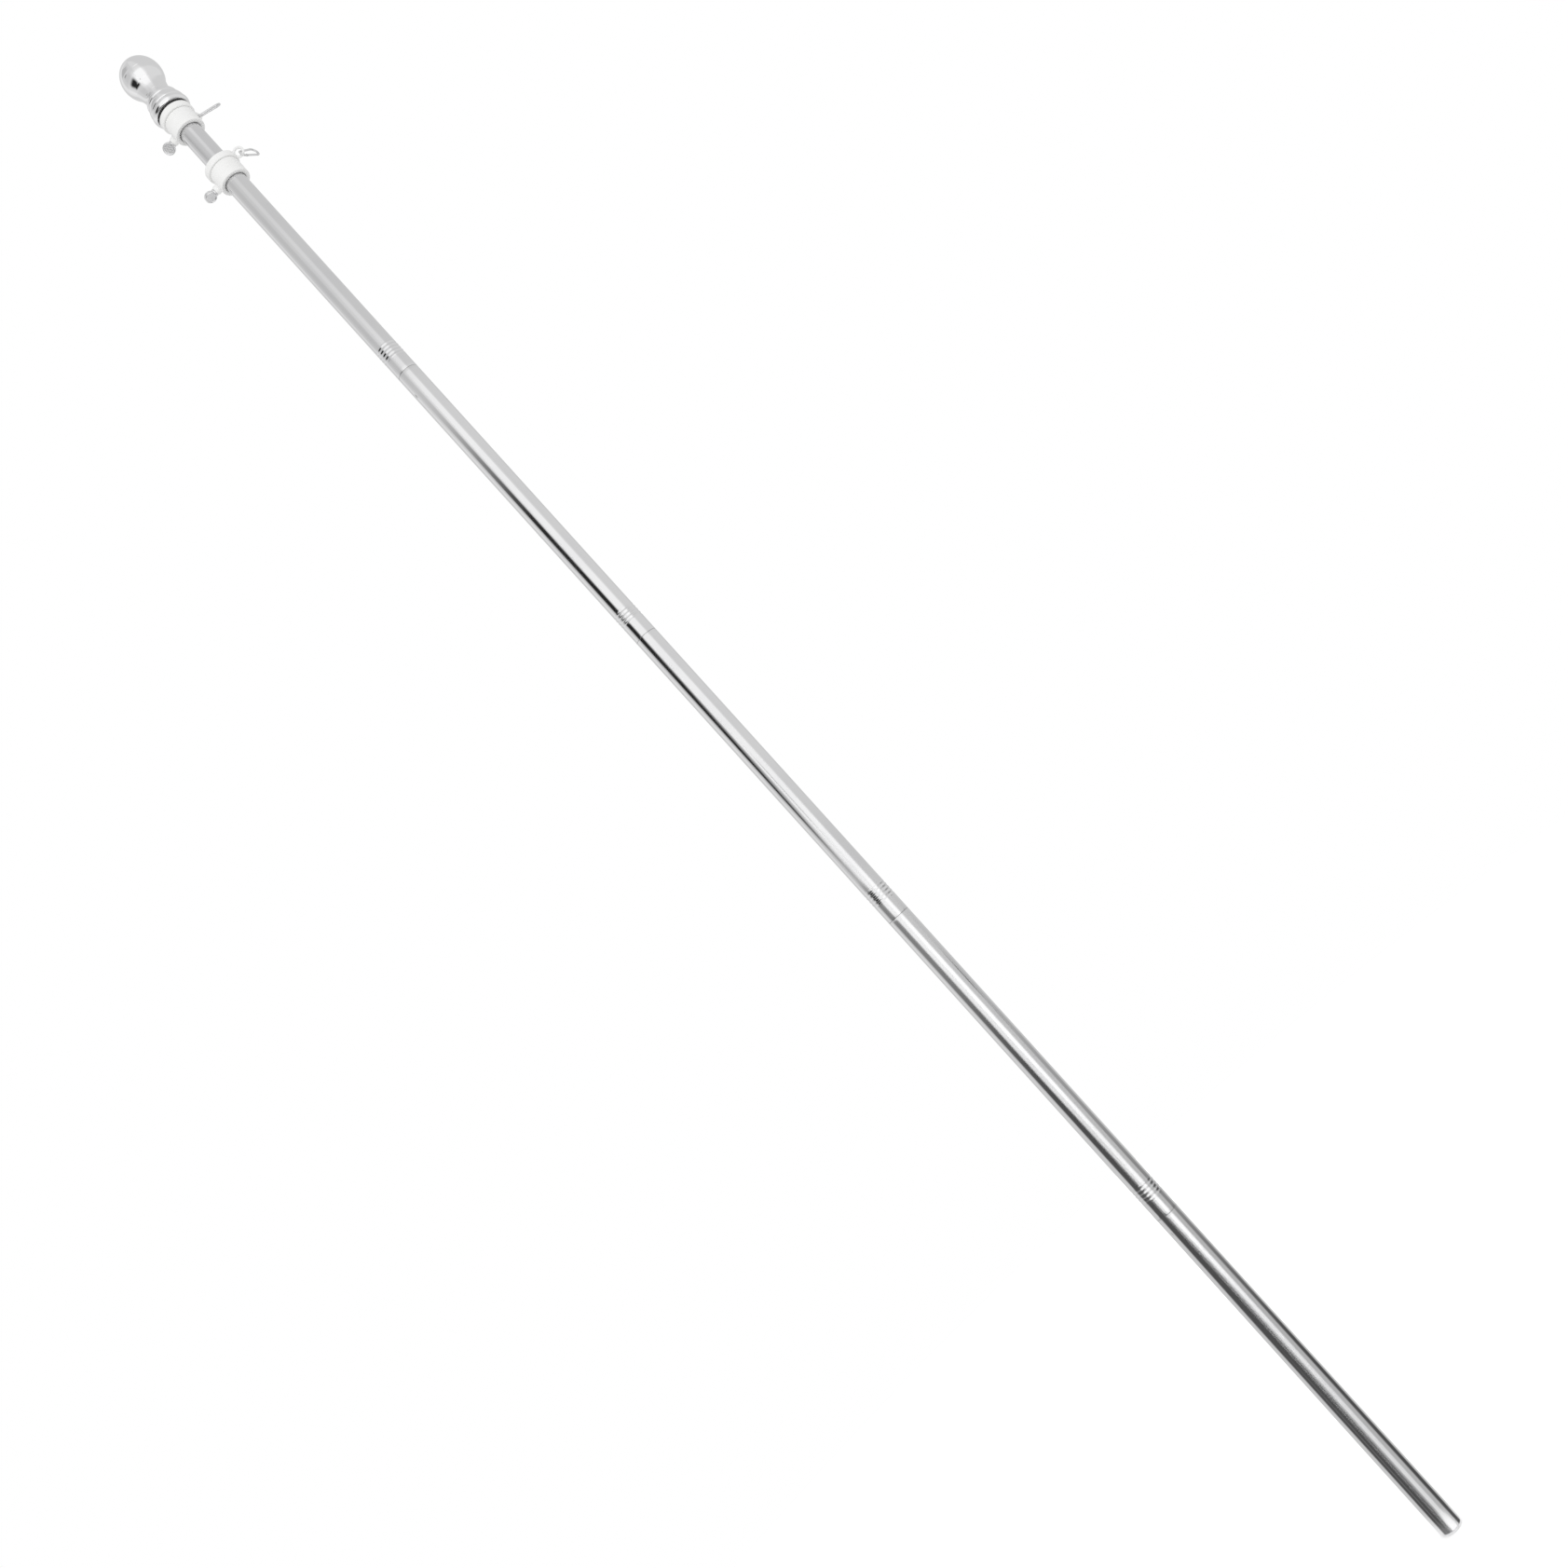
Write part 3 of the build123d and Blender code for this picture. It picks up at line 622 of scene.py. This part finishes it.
# %% Sleeve and boss profiles, in millimetres
BORE_R, COUNTERBORE_R, HUB_R, SLEEVE_R = 13.0, 13.7, 15.4, 18.1
COUNTERBORE_Z, SHOULDER_Z, HUB_TOP_Z = 3.0, 20.0, 24.9
FOOT_ROUND_R, SHOULDER_ROUND_R = 0.7, 0.25
BOSS_BORE_R, BOSS_R, BOSS_ROUND_R, BOSS_REACH = 2.58, 5.0, 0.8, 23.2


def arc(centre, radius, start, end, count=6):
    """Points on an arc of a profile, its angles in degrees from the radius axis."""
    t = np.radians(np.linspace(start, end, count))
    return [tuple(p) for p in np.stack((centre[0] + radius * np.cos(t), centre[1] + radius * np.sin(t)), -1)]


sleeve_profile = np.array(
    [(COUNTERBORE_R, COUNTERBORE_Z), (COUNTERBORE_R, 0.3), (COUNTERBORE_R + 0.3, 0.0)]
    + arc((SLEEVE_R - FOOT_ROUND_R, FOOT_ROUND_R), FOOT_ROUND_R, -90, 0)
    + [(SLEEVE_R, 5.0), (SLEEVE_R, 10.0), (SLEEVE_R, 15.0)]
    + arc((SLEEVE_R - SHOULDER_ROUND_R, SHOULDER_Z - SHOULDER_ROUND_R), SHOULDER_ROUND_R, 0, 90)
    + [(HUB_R, SHOULDER_Z), (HUB_R, HUB_TOP_Z), (BORE_R, HUB_TOP_Z), (BORE_R, COUNTERBORE_Z)]) * MM
boss_profile = np.array(
    [(BOSS_BORE_R, 14.6), (5.9, 14.6), (5.9, 17.3), (5.45, 17.75), (5.15, 18.3), (BOSS_R, 19.0),
     (BOSS_R, 20.6)]
    + arc((4.2, BOSS_REACH - BOSS_ROUND_R), BOSS_ROUND_R, 0, 90) + [(BOSS_BORE_R, BOSS_REACH)]) * MM
print("points on the sleeve's profile:", len(sleeve_profile), "and on the boss's:", len(boss_profile))

# %% [markdown]
# The mould's two halves met in a plane through the pole's axis, square to the screw, so a hair-thin
# ridge runs up each side of the skirt. It is too fine to model as a part of its own. As a ripple
# added to the radius it follows the skirt's rounded foot for nothing.

# %% Sleeves
SLEEVE_STEPS, BOSS_STEPS = 240, 72
RIDGE_HEIGHT, RIDGE_HALF_MM = 0.07 * MM, 0.3


def parting_ridge(turn):
    """A change of radius: two narrow bells at a right angle either side of the screw. Doubling the
    angle makes the two sides one, and halving it again gives how far off the nearer ridge is."""
    def ripple(r, h, t):
        off = np.abs(np.angle(np.exp(2j * (t - np.radians(turn) - np.pi / 2)))) / 2
        return RIDGE_HEIGHT * hump(off * SLEEVE_R, 0.0, RIDGE_HALF_MM) * (r > 17.0 * MM), 0.0 * h
    return ripple


sleeve_faces = grid_faces(len(sleeve_profile), SLEEVE_STEPS, wrap=True, close=True)
boss_faces = grid_faces(len(boss_profile), BOSS_STEPS, wrap=True, close=True)
for level, (foot, turn, _) in SCREWS.items():
    skirt = turned(sleeve_profile + (0, foot), SLEEVE_STEPS, parting_ridge(turn))
    add_piece(f"sleeve_{level}", skirt, sleeve_faces, collar_white, f"collar_{level}",
              f"clamp_sleeve_{level}", 50.0)
    base = (0, 0, foot + SCREW_HEIGHT)
    boss = turned_about(turned(boss_profile, BOSS_STEPS), base, outward_at(turn), UPWARD)
    add_piece(f"boss_{level}", boss, boss_faces, collar_white, f"collar_{level}",
              f"clamp_sleeve_{level}", 50.0)

# %% [markdown]
# A polished tube shows nothing of its own, only its surroundings, and a tube in an all-white room
# vanishes. A studio stands dark flags and grey scrims round it. The optics are simple: a ray
# mirrored by an upright tube keeps its slope, and it turns by twice the angle at which it met the
# wall. Flags could be moved about by eye until the stripes look right. Here each one is laid out by
# the rays themselves: one parameter is the direction a ray leaves in, which fixes where across the
# tube its stripe lies, and the other is how far it has gone.

# %% Rays mirrored by the tube
EYE_DISTANCE = -CAMERA_PLACE.y
EYE_HEIGHT = CAMERA_PLACE.z


def window(x, low, high, soft):
    """1 between low and high, falling smoothly to 0 over soft outside each end."""
    return smooth((x - low + soft) / soft) * smooth((high + soft - x) / soft)


def mirrored_ray(direction, reach, rise):
    """Follows a ray that leaves the tube in a direction until it is `reach` from the axis at height
    `rise`. It starts on the wall at half that angle; its run is the far root of the circle equation.
    A ray straight back is laid on the pole's own meridian, so that a full circle of cloth closes.
    Gives the angle of the end point round the pole and the height on the wall, which divides the fall
    from eye to end point as the two distances do."""
    half = direction / 2.0
    run = np.sqrt(reach ** 2 - (POLE_RADIUS * np.sin(half)) ** 2) - POLE_RADIUS * np.cos(half)
    angle = half + np.arcsin(np.clip(run * np.sin(half) / reach, -1.0, 1.0))
    angle = np.where(np.abs(direction) > np.pi - 1e-6, direction, angle)
    to_eye = EYE_DISTANCE - POLE_RADIUS * np.cos(half)
    return angle, (rise * to_eye + EYE_HEIGHT * run) / (to_eye + run)


mirrored_at = mirrored_ray(1.0, 1.3, 2.0)[1]
print("a ray to a point 1.3 m off and 2 m up is mirrored at", round(float(mirrored_at), 3), "m")

# %% [markdown]
# The cloth itself is a glow mixed with plain transparency. How dense it is at a point is a formula
# of the ray's direction and of the height on the tube where the ray was mirrored, and it is stored
# on the mesh as an attribute. Only reflections see these sheets, and they light nothing. Two shapes
# of path serve nearly all of them: a card that hangs in the air, and a flag that starts beside the
# pole's foot, runs out over the floor and then stands up.

# %% Cloth
FAN_STEPS = 121
STEPS_PER_RUN = 60
BESIDE_TUBE = 0.0135


def cloth(name, tone):
    """A glowing sheet of one tone, as opaque as its cover attribute says."""
    material = bpy.data.materials.new(name)
    material.use_nodes = True
    tree = material.node_tree
    tree.nodes.clear()
    thickness = add_node(tree, "ShaderNodeAttribute", {"attribute_name": "cover"}).outputs["Fac"]
    glow = add_node(tree, "ShaderNodeEmission", None, Color=(tone, tone, tone, 1.0), Strength=1.0).outputs[0]
    clear = add_node(tree, "ShaderNodeBsdfTransparent").outputs[0]
    both = add_node(tree, "ShaderNodeMixShader", None, i0=thickness, i1=clear, i2=glow).outputs[0]
    add_node(tree, "ShaderNodeOutputMaterial", None, Surface=both)
    material.cycles.emission_sampling = "NONE"
    return material


def stage_sheet(name, path, directions, tone, cover):
    """A sheet over a path of (distance, height) corners and a fan of ray directions in degrees, in
    which 0 leaves towards the camera and +X is +90."""
    corners = np.array(path)
    steps = np.linspace(0, len(corners) - 1, STEPS_PER_RUN * (len(corners) - 1) + 1)
    reach = np.interp(steps, np.arange(len(corners)), corners[:, 0])
    rise = np.interp(steps, np.arange(len(corners)), corners[:, 1])
    r, direction = np.meshgrid(reach, np.radians(np.linspace(*directions, FAN_STEPS)), indexing="ij")
    h = np.repeat(rise[:, None], FAN_STEPS, axis=1)
    angle, mirrored_at = mirrored_ray(direction, r, h)
    points = np.stack((r * np.sin(angle), -r * np.cos(angle), h), -1).reshape(-1, 3)
    mesh = bpy.data.meshes.new(name)
    mesh.from_pydata(points.tolist(), [], grid_faces(len(steps), FAN_STEPS).tolist())
    amount = mesh.attributes.new("cover", "FLOAT", "POINT")
    density = np.clip(cover(np.degrees(direction), mirrored_at), 0.0, 1.0)
    amount.data.foreach_set("value", density.astype(np.float32).ravel())
    sheet = bpy.data.objects.new(name, mesh)
    bpy.context.scene.collection.objects.link(sheet)
    sheet.visible_camera = sheet.visible_diffuse = sheet.visible_shadow = sheet.visible_transmission = False
    mesh.materials.append(cloth(name, tone))


def floor_and_wall(distance, top, lift):
    """The path of a flag: from just outside the tube out over the floor, then up to its top edge. The
    lift keeps each sheet's floor part clear of the others."""
    return [(BESIDE_TUBE, lift), (0.06, lift), (0.25, lift), (distance, lift), (distance, top)]


def flare(z):
    """The last finger's breadth above the floor mirrors the bright floor itself, so cloth thins there."""
    return 0.35 + 0.65 * smooth(z / 0.03)


print("each sheet is", FAN_STEPS, "rays wide")

# %% [markdown]
# Fifteen sheets make the set, and in each cover formula a is the ray's direction in degrees and z
# the height on the tube. A pale grey scrim closes the whole room and opens in front, which draws
# the pale line down the tube. The softbox in that gap is the highlight on the ball, and below it
# stands a brighter strip. Greys step down towards the floor in front and on the right. A camera
# tripod leaves a faint dip half way up, and a darker ceiling on the left is seen only by the finial.

# %% The room and its pale cloth
room = [(BESIDE_TUBE, 0.0002), (0.06, 0.0002), (0.25, 0.0002), (1.6, 0.0002), (1.6, 3.2), (1.3, 3.8),
        (0.7, 4.3), (0.02, 4.5)]
stage_sheet("stage_scrim", room, (-180, 180), 0.64,
            lambda a, z: (1.0 - window(a, -17, 25, 24) * (1 - smooth((z - 0.9) / 1.05))
                          - 0.2 * window(a, -100, 120, 20) * window(z, 1.0, 1.48, 0.15)
                          - 0.2 * window(a, 2, 25, 12) * smooth((z - 1.3) / 0.3)
                          - 0.42 * window(a, -120, -106, 15) * smooth((z - 0.3) / 0.5)
                          - 0.12 * window(a, -180, -148, 22) * smooth((z - 0.6) / 0.4)
                          - 0.5 * window(a, 14, 26, 16) * smooth((z - 1.86) / 0.12)
                          * (1 - smooth((z - 2.0) / 0.03))
                          - 0.9 * window(a, -44, -20, 12) * hump(z, 0.86, 0.09)) * flare(z))
stage_sheet("stage_softbox", [(1.55, 0.75), (1.55, 2.4)], (-20, 35), 1.0,
            lambda a, z: window(a, -11, 28, 5) * (1 - smooth((z - 1.45) / 0.2)))
stage_sheet("stage_tripod", [(1.5, 0.9), (1.5, 1.3)], (-30, 5), 0.05,
            lambda a, z: 0.4 * window(a, -14, -9, 3) * window(z, 0.92, 0.98, 0.03))
stage_sheet("stage_ceiling_left", [(1.25, 3.3), (1.2, 3.7), (0.65, 4.2), (0.02, 4.4)], (-150, -5), 0.3,
            lambda a, z: 0.5 * window(a, -80, -45, 30) * window(z, 2.3, 2.9, 0.2))
stage_sheet("stage_strip_front", floor_and_wall(1.5, 1.3, 0.0004), (-20, 60), 1.2,
            lambda a, z: window(a, 10, 26, 14) * smooth((z - 0.36) / 0.25) * (1 - smooth((z - 0.7) / 0.3)))
stage_sheet("stage_scrim_front", floor_and_wall(1.45, 0.7, 0.0006), (-40, 70), 0.8,
            lambda a, z: window(a, 2, 34, 14) * (1 - smooth((z - 0.02) / 0.58)) * flare(z))
stage_sheet("stage_scrim_middle", floor_and_wall(1.42, 0.8, 0.0008), (-45, 25), 0.36,
            lambda a, z: window(a, -20, -6, 16) * (1 - smooth((z + 0.05) / 0.85)) * flare(z))
stage_sheet("stage_scrim_right", floor_and_wall(1.4, 0.9, 0.001), (15, 120), 0.5,
            lambda a, z: window(a, 46, 84, 16) * (1 - smooth((z - 0.2) / 0.55)) * flare(z))

# %% [markdown]
# The dark cloth draws the stripes that make the tube look round. Two flags stand on the left, one
# above the other with a gap between them, and one stands on the right. A little light spills on the
# floor at the very foot, a small stand at the right leaves one dark fleck on the tube and one on
# the ball, and a card high on the left darkens the neck's edge.

# %% Flags and small things
stage_sheet("stage_flag_right", floor_and_wall(1.35, 1.0, 0.0012), (50, 180), 0.04,
            lambda a, z: (window(a, 87, 112, 20) + 0.1 * window(a, 130, 180, 20))
            * (0.93 - 0.35 * smooth((z - 0.22) / 0.2)) * (1 - smooth((z - 0.42) / 0.45)))
stage_sheet("stage_flag_left_high", floor_and_wall(1.35, 3.0, 0.0014), (-110, -5), 0.02,
            lambda a, z: window(a, -66, -42, 23) ** 1.5 * (1 - 0.9 * smooth((z - 1.34) / 0.2))
            * smooth((z - 0.815 + 0.0022 * np.maximum(a + 63, 0)) / (0.12 + 0.015 * np.maximum(a + 63, 0))))
stage_sheet("stage_card_high", [(1.3, 2.6), (1.3, 3.4)], (-80, -40), 0.05,
            lambda a, z: window(a, -64, -56, 12) * window(z, 1.9, 2.02, 0.03)
            * (0.12 + 0.7 * smooth((z - 1.95) / 0.03)))
stage_sheet("stage_flag_left_low", floor_and_wall(1.35, 1.0, 0.0016), (-125, 15), 0.06,
            lambda a, z: window(a, -75 - 11 * smooth((0.42 - z) / 0.2),
                                -44 + 22 * smooth((0.62 - z) / 0.3), 18)
            * (0.96 - 0.28 * smooth((z - 0.55) / 0.2)) * (1 - 0.25 * smooth((a + 42) / 16))
            * (1 - smooth((z - 0.81) / 0.03)) * (0.8 + 0.2 * smooth(z / 0.02)))
stage_sheet("stage_line_left", floor_and_wall(1.3, 0.1, 0.0018), (-85, -45), 0.22,
            lambda a, z: 0.5 * window(a, -66, -62, 6) * (1 - smooth((z - 0.1) / 0.18)))
stage_sheet("stage_flare", [(BESIDE_TUBE, 0.002), (0.03, 0.002), (0.09, 0.002)], (-30, 70), 1.2,
            lambda a, z: 0.9 * window(a, 2, 42, 22) * (1 - smooth((z - 0.004) / 0.024)))
stage_sheet("stage_stand", [(1.5, 0.5), (1.5, 0.8)], (70, 96), 0.06,
            lambda a, z: window(a, 80, 87, 3) * window(z, 0.68, 0.705, 0.01))

# %% [markdown]
# The floor and the background are both white without any extra light on the pole: rays from the
# camera, and rays that have bounced off or passed through something, see a glow of strength one,
# while the light that falls on the pole stays plain. The floor still has an ordinary diffuse part,
# so the pole's soft shadow lies on it.

# %% World
WORLD_LIGHT = 0.72


def seen_directly(tree):
    """1 for camera, glossy and transmission rays, 0 for the rays that only carry light."""
    path = add_node(tree, "ShaderNodeLightPath")
    first = maths(tree, "MAXIMUM", path.outputs["Is Camera Ray"], path.outputs["Is Glossy Ray"])
    return maths(tree, "MAXIMUM", first, path.outputs["Is Transmission Ray"])


world = bpy.data.worlds.new("studio")
bpy.context.scene.world = world
world.use_nodes = True
sky = world.node_tree
strength = maths(sky, "MULTIPLY_ADD", seen_directly(sky), 1.0 - WORLD_LIGHT, WORLD_LIGHT)
sky.nodes["Background"].inputs["Color"].default_value = (1, 1, 1, 1)
sky.links.new(strength, sky.nodes["Background"].inputs["Strength"])
print("world light on the pole:", WORLD_LIGHT)

# %% [markdown]
# The floor is one flat disc just under the pole's foot. Its glow grows towards the rim, where less of
# the lamps' light falls, so that the floor stays evenly white.

# %% Floor
FLOOR_GLOW_NEAR, FLOOR_GLOW_FAR = 0.40, 0.58
FLOOR_REACH, FLOOR_SIDES, FLOOR_DROP = 2.2, 96, 0.0004
disc = np.linspace(0, 2 * np.pi, FLOOR_SIDES, endpoint=False)
ring = np.stack((FLOOR_REACH * np.cos(disc), FLOOR_REACH * np.sin(disc), np.full_like(disc, -FLOOR_DROP)), -1)
floor_mesh = bpy.data.meshes.new("stage_floor")
floor_mesh.from_pydata(ring.tolist(), [], [list(range(FLOOR_SIDES))])
floor = bpy.data.objects.new("stage_floor", floor_mesh)
bpy.context.scene.collection.objects.link(floor)
floor_material, floor_tree, floor_shader = new_material("stage_floor")
floor_shader.inputs["Base Color"].default_value = (0.82, 0.82, 0.82, 1)
floor_shader.inputs["Roughness"].default_value = 0.9
floor_shader.inputs["Specular IOR Level"].default_value = 0.1
floor_shader.inputs["Emission Color"].default_value = (1, 1, 1, 1)
floor_place = add_node(floor_tree, "ShaderNodeTexCoord").outputs["Object"]
floor_length = add_node(floor_tree, "ShaderNodeVectorMath", {"operation": "LENGTH"}, i0=floor_place)
floor_glow = remap(floor_tree, floor_length.outputs["Value"], 0.25, 1.6, FLOOR_GLOW_NEAR, FLOOR_GLOW_FAR)
floor_tree.links.new(maths(floor_tree, "MULTIPLY", seen_directly(floor_tree), floor_glow),
                     floor_shader.inputs["Emission Strength"])
floor_material.cycles.emission_sampling = "NONE"
floor_mesh.materials.append(floor_material)
print("floor:", FLOOR_REACH, "m out from the pole")

# %% [markdown]
# Four large, weak lamps shape the collars and cast the soft shadow. Reflections don't see them,
# because a lamp's bright square would cut across the stripes on the tube.

# %% Lamps
def soft_lamp(name, place, target, side, watts):
    """A square area lamp aimed at a point."""
    data = bpy.data.lights.new(name, "AREA")
    data.shape = "RECTANGLE"
    data.size = data.size_y = side
    data.energy = watts
    lamp = bpy.data.objects.new(name, data)
    lamp.location = place
    lamp.rotation_euler = (Vector(target) - Vector(place)).to_track_quat("-Z", "Y").to_euler()
    lamp.visible_glossy = False
    bpy.context.scene.collection.objects.link(lamp)


soft_lamp("lamp_front", (0.35, -2.6, 2.6), (0, 0, 1.2), 1.2, 13.0)
soft_lamp("lamp_side", (-2.4, -0.9, 1.6), (0, 0, 1.0), 1.4, 6.0)
soft_lamp("lamp_back", (1.2, 2.4, 2.2), (0, 0, 1.2), 1.4, 12.0)
soft_lamp("lamp_low", (0.25, -2.0, 0.45), (0, 0, 1.9), 0.7, 6.0)
